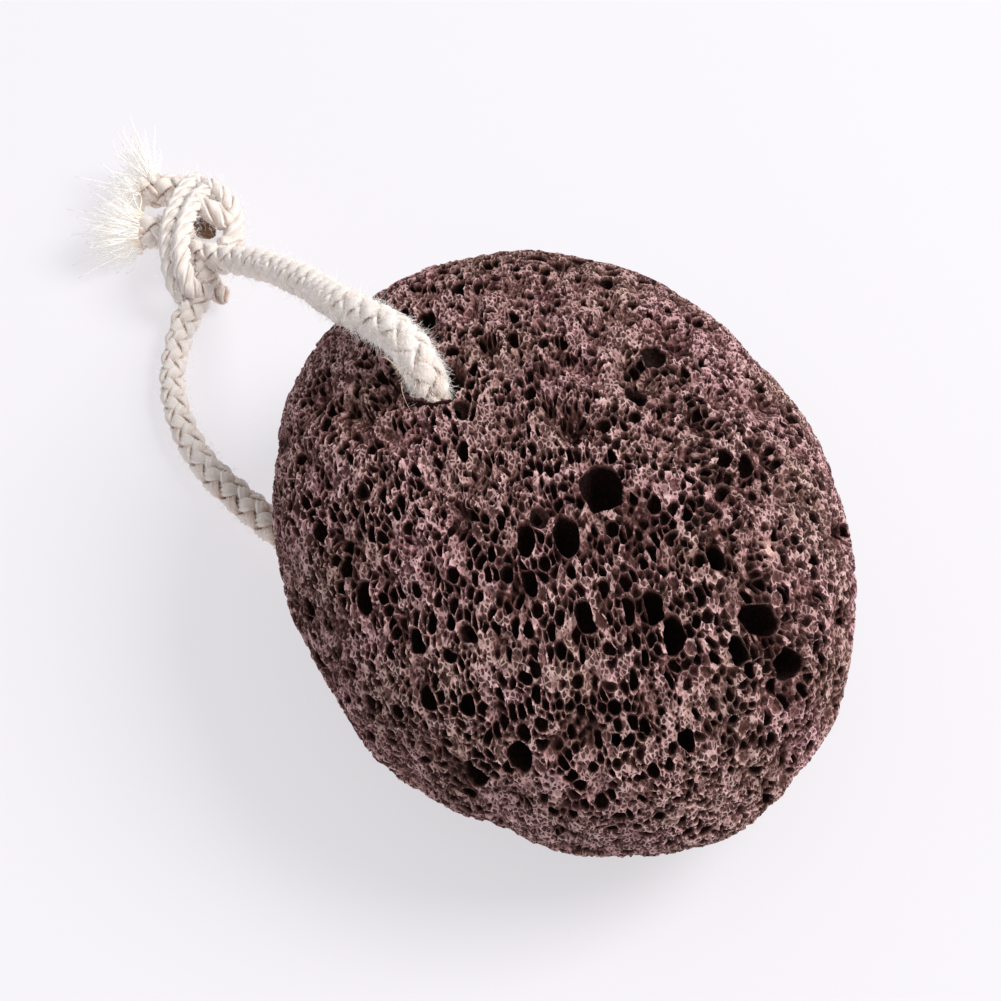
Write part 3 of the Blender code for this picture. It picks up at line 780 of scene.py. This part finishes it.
def build_bore(skin, outlines, draw):
    """The hole's rough wall, from the rim of one mouth to the rim of the other."""
    line = smooth_line([place for place, _ in HOLE_LINE], BORE_STEP)
    run = run_of(line)
    stations = np.array([place for place, _ in HOLE_LINE]) * MM
    stops = [run[((line - place) ** 2).sum(axis=1).argmin()] for place in stations]
    radii = np.interp(run, stops, [radius * MM for _, radius in HOLE_LINE])
    sides, others = frames_along(line)
    inside = (run >= stops[BORE_FROM]) & (run <= stops[BORE_TO])
    line = line[inside]
    rings = []
    for spot, radius, turn in zip(line, radii[inside],
                                  spokes(sides[inside], others[inside], BORE_SIDES)):
        rough = radius + BORE_ROUGH * draw.normal(size=BORE_SIDES).clip(-1.5, 1.5)
        rows = clear_of_rope(spot + turn * rough[:, None])
        rings.append(skin.ring(rows, np.full(BORE_SIDES, BORE_SHADE)))
    first = np.array([skin.points[i] for i in rings[0]])
    if winding(first) @ (line[1] - line[0]) > 0:
        rings = [ring[::-1] for ring in rings]
    skin.sew(outlines[0], rings[0])
    for upper, lower in zip(rings, rings[1:]):
        skin.bridge(upper, lower)
    skin.sew(outlines[1], rings[-1][::-1])


def clear_of_rope(points):
    """Moves points away from the rope's middle line where they are too near."""
    points = np.array(points)
    line = smooth_line(ROPE_ROUTE, 0.6 * MM)
    limit = ROPE_RADIUS + ROPE_CLEARANCE
    box = (points > line.min(axis=0) - limit).all(axis=1) & (
        points < line.max(axis=0) + limit).all(axis=1)
    for index in np.flatnonzero(box):
        gaps = points[index] - line
        apart = np.linalg.norm(gaps, axis=1)
        nearest = apart.argmin()
        if apart[nearest] < limit:
            points[index] = line[nearest] + gaps[nearest] * limit / apart[nearest]
    return points


def build_stone(material):
    """The stone: one closed skin of pores with the rope's hole through it."""
    draw = np.random.default_rng(SEED + 3)
    net = lay_out_pores()
    corners, cells = cells_of(net, draw)
    places = np.array(net.points)
    mouths = [join_patch(places, corners, cells, *mouth) for mouth in MOUTHS]
    pits = {join_patch(places, corners, cells, spot, length, width): depth * MM
            for spot, length, width, depth in PITS}
    join_pairs(net, corners, cells, [0, *mouths, *pits], draw)
    lowered = lowered_rims(net, corners, draw)
    outward = unit(corners - CENTRE)
    worn = corners - outward * lowered[:, None]
    worn[:, 2] = np.maximum(worn[:, 2], 0.0)
    worn = clear_of_rope(worn)
    skin = Skin(worn, lowered)
    scales = pore_scale(np.array(net.points))
    for index, cell in enumerate(cells):
        if cell is None or index in mouths:
            continue
        if index == 0:
            hub = skin.ring([worn[cell].mean(axis=0)], [0.0])[0]
            skin.faces += [(a, b, hub) for a, b in sides_of(cell)]
            continue
        radius = math.sqrt(np.linalg.norm(winding(worn[cell])) / math.tau)
        if index in pits:
            steps, depth = DEEP_BOWL, pits[index]
            lean = draw.normal(size=3) * radius * PIT_LEAN
        else:
            steps, depth = pore_plan(radius, scales[index], draw)
            lean = draw.normal(size=3) * radius * PORE_LEAN
        skin.sink(worn, cell, steps, depth, lean)
    build_bore(skin, [cells[index] for index in mouths], draw)
    faces = np.array(skin.faces)
    kept, renamed = np.unique(faces, return_inverse=True)
    points = clear_of_rope(np.array(skin.points)[kept])
    millimetres = np.array(skin.depths)[kept] / MM
    stone = add_piece("stone_skin", points, renamed.reshape(faces.shape).tolist(), material,
                      "pit", millimetres)
    stone.data.set_sharp_from_angle(angle=SHARP_ANGLE)
    return stone


# ---- Rope
class Threads:
    """A mesh of tubes as it is built: points, map, shade of each point, faces."""

    def __init__(self):
        self.points = []
        self.uvs = []
        self.shades = []
        self.faces = []
        self.count = 0

    def tube(self, rings, along, shades):
        """Adds a closed tube of rings, an array of rings by points by three."""
        number, sides, _ = rings.shape
        first = self.count
        self.points.append(rings.reshape(-1, 3))
        around = np.tile(np.arange(sides) / sides, number)
        self.uvs.append(np.stack((np.repeat(along / MM, sides), around), axis=1))
        self.shades.append(np.broadcast_to(shades, (number, sides)).reshape(-1))
        index = first + np.arange(number * sides).reshape(number, sides)
        right = np.roll(index, -1, axis=1)
        quads = np.stack((index[:-1], right[:-1], right[1:], index[1:]), axis=-1)
        self.faces += quads.reshape(-1, 4).tolist()
        self.faces += [index[0][::-1].tolist(), index[-1].tolist()]
        self.count += number * sides

    def piece(self, name, material):
        """The finished object."""
        return add_piece(name, np.vstack(self.points), self.faces, material,
                         "shade", np.concatenate(self.shades), np.vstack(self.uvs))


def braid(threads, line, radius, draw, painted_shade, ways=(1, -1)):
    """Flat strands of three yarns, plaited over and under along a line or just twisted."""
    run = run_of(line)
    sides, others = frames_along(line)
    pitch = BRAID_PITCH * radius.mean()
    phase = draw.uniform(0, math.tau)
    across, heights = np.array(STRAND_SECTION).T
    painted_shade = np.broadcast_to(painted_shade, len(line))[:, None]
    for way in ways:
        for strand in range(STRANDS_EACH_WAY):
            turn = (way * math.tau * run / pitch + phase
                    + math.tau * strand / STRANDS_EACH_WAY)
            weave = way * np.cos(math.tau * STRANDS_EACH_WAY * run / pitch)
            weave *= len(ways) / 2
            slack = 1 + STRAND_SLACK * draw.normal()
            slack += STRAND_WANDER * waves(line, draw.integers(999), WANDER_SIZE)
            reach = radius * (STRAND_MIDDLE + STRAND_WEAVE * weave) * slack
            out = np.cos(turn)[:, None] * sides + np.sin(turn)[:, None] * others
            middle = line + out * reach[:, None]
            flat = unit(np.cross(np.gradient(middle, axis=0), out))
            wide = radius * STRAND_WIDE * (1 - STRAND_PINCH + STRAND_PINCH * weave) * slack
            thick = radius * STRAND_THICK
            uneven = 1 + YARN_UNEVEN * draw.normal(size=(1, len(across)))
            rings = (middle[:, None]
                     + flat[:, None] * (across * wide[:, None])[:, :, None]
                     + out[:, None] * (heights * uneven * thick[:, None])[:, :, None])
            # painted shade: darker where a strand dips under the others and in the grooves between
            # its yarns
            depth = 0.5 - 0.5 * weave[:, None] * np.ones(len(across))
            yarns = np.clip(1 - heights, 0, 1.3)
            threads.tube(rings[:, ::-way], run,
                         STRAND_SHADE * depth + YARN_SHADE * yarns + painted_shade)
    # the core gets more painted shade, where it shows in the gaps
    rings = line[:, None] + spokes(sides, others, CORE_SIDES) * (radius * CORE)[:, None, None]
    threads.tube(rings[::2], run[::2], (CORE_SHADE + painted_shade)[::2])


def brushed_share(points):
    """How brushed up the rope is: from nothing to all of it just before the hole."""
    return rise(points[:, 0], *BRUSHED) * (points[:, 2] > BRUSHED_ABOVE)


def build_rope(material):
    """The free loop, from inside the knot round through the stone and back."""
    line = smooth_line(ROPE_ROUTE, BRAID_STEP)
    draw = np.random.default_rng(SEED + 11)
    threads = Threads()
    swell = 0.97 + 0.11 * rise(line[:, 0], *NEAR_STONE)
    swell += 0.012 * waves(line, SEED + 4, 14 * MM)
    swell -= 0.13 * rise(-line[:, 1], *LOWER_STRAND)
    into_hole = rise(line[:, 0], *INTO_HOLE)
    under_stone = rise(line[:, 0], *UNDER_STONE) * (line[:, 2] < UNDER_STONE_BELOW)
    paler = brushed_share(line) * (1 - into_hole)
    # painted shade where the rope goes into the hole and where the stone's shadow falls on it; the
    # brushed part gets less
    painted_shade = 0.45 * into_hole + 0.25 * under_stone - 0.16 * paler
    braid(threads, line, ROPE_RADIUS * swell, draw, painted_shade)
    return threads.piece("rope_braid", material), line


def build_knot(material):
    """The knot: twisted turns pressed together, and two short braided tails."""
    threads = Threads()
    turns = [(turn, (1,)) for turn in KNOT_WRAPS] + [(turn, (1, -1)) for turn in KNOT_TAILS]
    for number, ((radius, painted_shade, route), ways) in enumerate(turns):
        line = smooth_line(route, BRAID_STEP)
        ends = np.minimum(run_of(line), run_of(line)[::-1])
        rounded = np.sqrt(np.clip(ends / ROUNDED_END, 0.05, 1))
        draw = np.random.default_rng(SEED + 20 + number)
        braid(threads, line, radius * MM * rounded, draw, painted_shade, ways)
    return threads.piece("knot_braid", material)


def hair(threads, line, radius, shade):
    """One fibre: a thin three-sided tube that tapers to its tip."""
    taper = radius * np.linspace(1.0, 0.35, len(line))
    rings = line[:, None] + spokes(*frames_along(line), 3) * taper[:, None, None]
    threads.tube(rings, run_of(line), shade)


def build_tufts(material):
    """The tails' ends, come apart into loose fibres, and two fibres caught on the rope."""
    draw = np.random.default_rng(SEED + 31)
    threads = Threads()
    for fibres, start, end, tight, spread in FRAYED_ENDS:
        start = np.array(start) * MM
        axis = np.array(end) * MM - start
        for _ in range(fibres):
            off = draw.normal(size=3).clip(-1.3, 1.3)
            off -= unit(axis) * (off @ unit(axis))
            length = draw.uniform(*FIBRE_LENGTHS)
            share = np.linspace(0, 1, 8)[:, None]
            curl = draw.normal(size=3) * FIBRE_CURL
            line = (start + off * tight * 0.62 * MM
                    + axis * share * length
                    + off * (spread - tight) * 0.62 * MM * share ** 1.6
                    + curl * share * np.sin(share * draw.uniform(1.5, 3.5)))
            line[:, 2] = np.maximum(line[:, 2], 0.3 * MM)
            ochre = np.clip(0.8 - 2.4 * share, 0, 1) * draw.uniform(0.0, 1.0)
            hair(threads, line, draw.uniform(*FIBRE_RADII) * MM, ochre)
    for radius, route in LOOSE_FIBRES:
        hair(threads, smooth_line(route, 0.5 * MM), radius * MM, 1.0)
    return threads.piece("tufts", material)


def build_fuzz(material, loop):
    """Short stray hairs all over the rope and the knot."""
    draw = np.random.default_rng(SEED + 41)
    threads = Threads()
    bodies = [(loop, ROPE_RADIUS)]
    bodies += [(smooth_line(route, BRAID_STEP), radius * MM)
               for radius, _, route in KNOT_WRAPS + KNOT_TAILS]
    weights = np.array([len(line) for line, _ in bodies], dtype=float)
    picks = [(body, draw.integers(2, len(bodies[body][0]) - 2))
             for body in draw.choice(len(bodies), FUZZ_HAIRS, p=weights / weights.sum())]
    brushed = brushed_share(loop)
    picks += [(0, spot) for spot in draw.choice(len(loop), BRUSHED_HAIRS,
                                                p=brushed / brushed.sum())]
    for count, (body, spot) in enumerate(picks):
        line, radius = bodies[body]
        ahead = unit(line[spot + 1] - line[spot - 1])
        out = draw.normal(size=3)
        out = unit(out - ahead * (out @ ahead))
        combed = count >= FUZZ_HAIRS
        lean = unit(out * draw.uniform(0.2, 0.9) + ahead * (draw.normal() + 1.5 * combed)
                    + np.cross(out, ahead) * draw.normal() * (0.4 if combed else 1.0))
        share = np.linspace(0, 1, 4)[:, None]
        bend = draw.normal(size=3) * 0.5
        start = line[spot] + out * radius * draw.uniform(0.90, 1.04)
        reach = draw.uniform(*HAIR_LENGTHS) * MM
        strand = start + (lean * share + bend * share ** 2) * reach
        strand[:, 2] = np.maximum(strand[:, 2], 0.05 * MM)
        hair(threads, strand, draw.uniform(*HAIR_RADII) * MM, 0.05)
    return threads.piece("fuzz", material)


# ---- Materials
class Nodes:
    """A short hand for wiring a material's nodes."""

    def __init__(self, name):
        self.material = bpy.data.materials.new(name)
        self.material.use_nodes = True
        self.tree = self.material.node_tree
        self.shader = self.tree.nodes["Principled BSDF"]

    def add(self, kind, settings=(), output=0, **inputs):
        """One output of a new node, from its settings and inputs: values, or other outputs."""
        node = self.tree.nodes.new("ShaderNode" + kind)
        for key, value in dict(settings).items():
            setattr(node, key, value)
        for key, value in inputs.items():
            slot = node.inputs[int(key[1:]) if key[1:].isdigit() else key.replace("_", " ")]
            self.set(slot, value)
        return node.outputs[output]

    def set(self, slot, value):
        """Wires an output into a slot, or sets the slot's value."""
        if isinstance(value, bpy.types.NodeSocket):
            self.tree.links.new(value, slot)
        else:
            slot.default_value = value

    def ramp(self, fac, stops):
        """A colour ramp through stops of (place, colour)."""
        colour = self.add("ValToRGB", Fac=fac)
        band = colour.node.color_ramp
        while len(band.elements) < len(stops):
            band.elements.new(1.0)
        for element, (place, tone) in zip(band.elements, stops):
            element.position = place
            element.color = (*tone, 1.0)
        return colour

    def noise(self, coordinates, size, detail=2.0):
        """Noise whose lumps are about this many metres across."""
        return self.add("TexNoise", Vector=coordinates, Scale=1 / size, Detail=detail)

    def maths(self, operation, *terms):
        """Adds values up, or combines them by another operation."""
        total = terms[0]
        for term in terms[1:]:
            total = self.add("Math", {"operation": operation}, i0=total, i1=term)
        return total

    def mix(self, fac, one, two, blend="MIX"):
        """Mixes two colours."""
        return self.add("Mix", {"data_type": "RGBA", "blend_type": blend}, 2,
                        i0=fac, i6=one, i7=two)

    def map_range(self, value, low, high, to_low=0.0, to_high=1.0):
        """Carries a value from one range to another, clamped."""
        return self.add("MapRange", Value=value, From_Min=low, From_Max=high,
                        To_Min=to_low, To_Max=to_high)

    def dent(self, height, strength, distance):
        """Gives the shader a bump from a height."""
        bump = self.add("Bump", Strength=strength, Distance=distance, Height=height)
        self.set(self.shader.inputs["Normal"], bump)

    def plain(self, **values):
        """Sets what is the same all over the surface, on the shader's own sockets."""
        for key, value in values.items():
            self.shader.inputs[key.replace("_", " ")].default_value = value


def pumice_material():
    """Bright mauve wall tops, brown pore walls and nearly black pore floors: the stone's own
    colour, darkened with depth as painted shade.
    """
    n = Nodes("pumice")
    place = n.add("TexCoord", output="Object")
    pit = n.add("Attribute", {"attribute_name": "pit"}, "Fac")
    drawn = n.add("Mapping", {"vector_type": "TEXTURE"}, Vector=place, Scale=(1.6, 1.0, 1.1),
                  Rotation=(0.0, 0.0, math.atan2(GRAIN[1], GRAIN[0])))
    uneven = n.map_range(n.noise(drawn, 0.45 * MM, 3.0), 0.25, 0.75, -0.14, 0.14)
    depth = n.maths("ADD", pit, uneven)
    # painted shade: the stone's own pale mauve on the wall tops darkens with depth to near black on
    # the pore floors
    colour = n.ramp(n.map_range(depth, -0.1, 1.1), PUMICE_TONES)
    warp = n.noise(place, 1.1 * MM, 1.0)
    walls = n.add("TexVoronoi", {"feature": "DISTANCE_TO_EDGE"}, Vector=drawn,
                  Scale=1 / PINHOLE_SIZE)
    wall_share = n.map_range(warp, 0.35, 0.65, 0.06, 0.20)
    bubbles = n.map_range(n.maths("SUBTRACT", walls, wall_share), -0.03, 0.06)
    shallow = n.map_range(pit, 0.10, 0.5, 0.92, 0.35)
    pinholes = n.maths("MULTIPLY", bubbles, shallow)
    # painted shade: the finest pores drawn dark with their thin walls left pale, fainter inside
    # deep pits
    colour = n.mix(pinholes, colour, PINHOLE_COLOUR)
    away = n.add("VectorMath", {"operation": "DISTANCE"}, "Value", i0=place, i1=TAN_SPOT)
    ragged = n.maths("ADD", away, n.maths("MULTIPLY", warp, 4 * MM))
    tan = n.maths("MULTIPLY", n.map_range(ragged, *TAN_EDGE, 0.75, 0.0),
                  n.map_range(pit, 0.15, 0.5, 1.0, 0.0))
    colour = n.mix(tan, colour, TAN_COLOUR)
    colour = n.mix(1.0, colour, n.ramp(n.noise(place, 11 * MM), PUMICE_TINTS), "MULTIPLY")
    n.set(n.shader.inputs["Base Color"], colour)
    n.plain(Roughness=0.92, Specular_IOR_Level=0.12)
    fine = n.noise(place, 0.20 * MM, 3.0)
    n.dent(n.maths("ADD", fine, n.maths("MULTIPLY", pinholes, -1.5)), 0.7, 0.10 * MM)
    return n.material


def cotton_material(name, tones, glow=0.0):
    """Cotton yarn: ivory where it stands out, painted shade of beige-brown down in the grooves.

    The glow stands for the light that thin loose fibres pass on to each other.
    """
    n = Nodes(name)
    shade = n.add("Attribute", {"attribute_name": "shade"}, "Fac")
    along = n.add("UVMap", {"uv_map": "along"})
    fibres = n.noise(n.add("Mapping", Vector=along, Scale=(1.3, 26.0, 1.0)), 1.0, 3.0)
    soft = n.noise(n.add("TexCoord", output="Object"), 6 * MM)
    fac = n.maths("ADD", shade, n.map_range(fibres, 0.3, 0.7, -0.14, 0.14),
                  n.map_range(soft, 0.3, 0.7, -0.08, 0.08))
    colour = n.ramp(fac, tones)
    n.set(n.shader.inputs["Base Color"], colour)
    if glow:
        n.set(n.shader.inputs["Emission Color"], colour)
        n.plain(Emission_Strength=glow)
    n.plain(Roughness=0.95, Specular_IOR_Level=0.15, Sheen_Weight=0.25, Subsurface_Weight=0.18,
            Subsurface_Radius=(1.0, 0.7, 0.5), Subsurface_Scale=0.6 * MM)
    n.dent(fibres, 0.5, 0.12 * MM)
    return n.material


def floor_material():
    """Plain pale studio paper over a light table."""
    n = Nodes("paper")
    n.plain(Base_Color=FLOOR_COLOUR, Roughness=0.9, Emission_Color=FLOOR_GLOW_COLOUR,
            Emission_Strength=FLOOR_GLOW)
    return n.material


# ---- Stage
def build_camera():
    """The camera at the view's angle."""
    across = VIEW_DISTANCE * math.cos(VIEW_ELEVATION)
    away = Vector((math.sin(VIEW_AZIMUTH) * across, -math.cos(VIEW_AZIMUTH) * across,
                   math.sin(VIEW_ELEVATION) * VIEW_DISTANCE))
    lens = bpy.data.cameras.new("camera")
    lens.sensor_width = SENSOR
    lens.lens = SENSOR * FOCAL_PIXELS / FRAME_PIXELS
    lens.clip_start = 0.01
    bpy.context.scene.camera = add_facing("camera", lens, VIEW_AIM, away)


def add_facing(name, data, aim, away):
    """A camera or lamp that stands away from a point and faces it."""
    item = add_object(name, data)
    item.location = aim + away
    item.rotation_euler = (-away).to_track_quat("-Z", "Y").to_euler()
    return item


def build_stage():
    """A pale floor under soft studio light from the upper right."""
    mesh = bpy.data.meshes.new("floor")
    corners = [(x * FLOOR_HALF, y * FLOOR_HALF, 0) for x, y in ((-1, -1), (1, -1), (1, 1), (-1, 1))]
    mesh.from_pydata(corners, [], [(0, 1, 2, 3)])
    mesh.materials.append(floor_material())
    add_object("floor", mesh)
    lamp = bpy.data.lights.new("key", "AREA")
    lamp.size = KEY_SIZE
    lamp.energy = KEY_POWER
    lamp.color = KEY_COLOUR
    add_facing("key", lamp, Vector(), KEY_PLACE)
    world = bpy.data.worlds.new("studio")
    world.use_nodes = True
    background = world.node_tree.nodes["Background"]
    background.inputs["Color"].default_value = SKY_COLOUR
    background.inputs["Strength"].default_value = SKY_STRENGTH
    bpy.context.scene.world = world
    bpy.context.scene.view_settings.view_transform = "Standard"


def main():
    """Builds the scene, hangs every piece on the root body and hides the part's own meshes."""
    build_camera()
    build_stage()
    stone = build_stone(pumice_material())
    cotton = cotton_material("cotton", COTTON_TONES)
    rope, line = build_rope(cotton)
    knot = build_knot(cotton)
    tufts = build_tufts(cotton_material("cotton_fibre", TUFT_TONES, TUFT_GLOW))
    fuzz = build_fuzz(tufts.active_material, line)
    for piece in (stone, rope, knot, tufts, fuzz):
        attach(piece, "root")
    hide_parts("stone")
    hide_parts("rope_loop")
    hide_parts("rope_knot")


main()
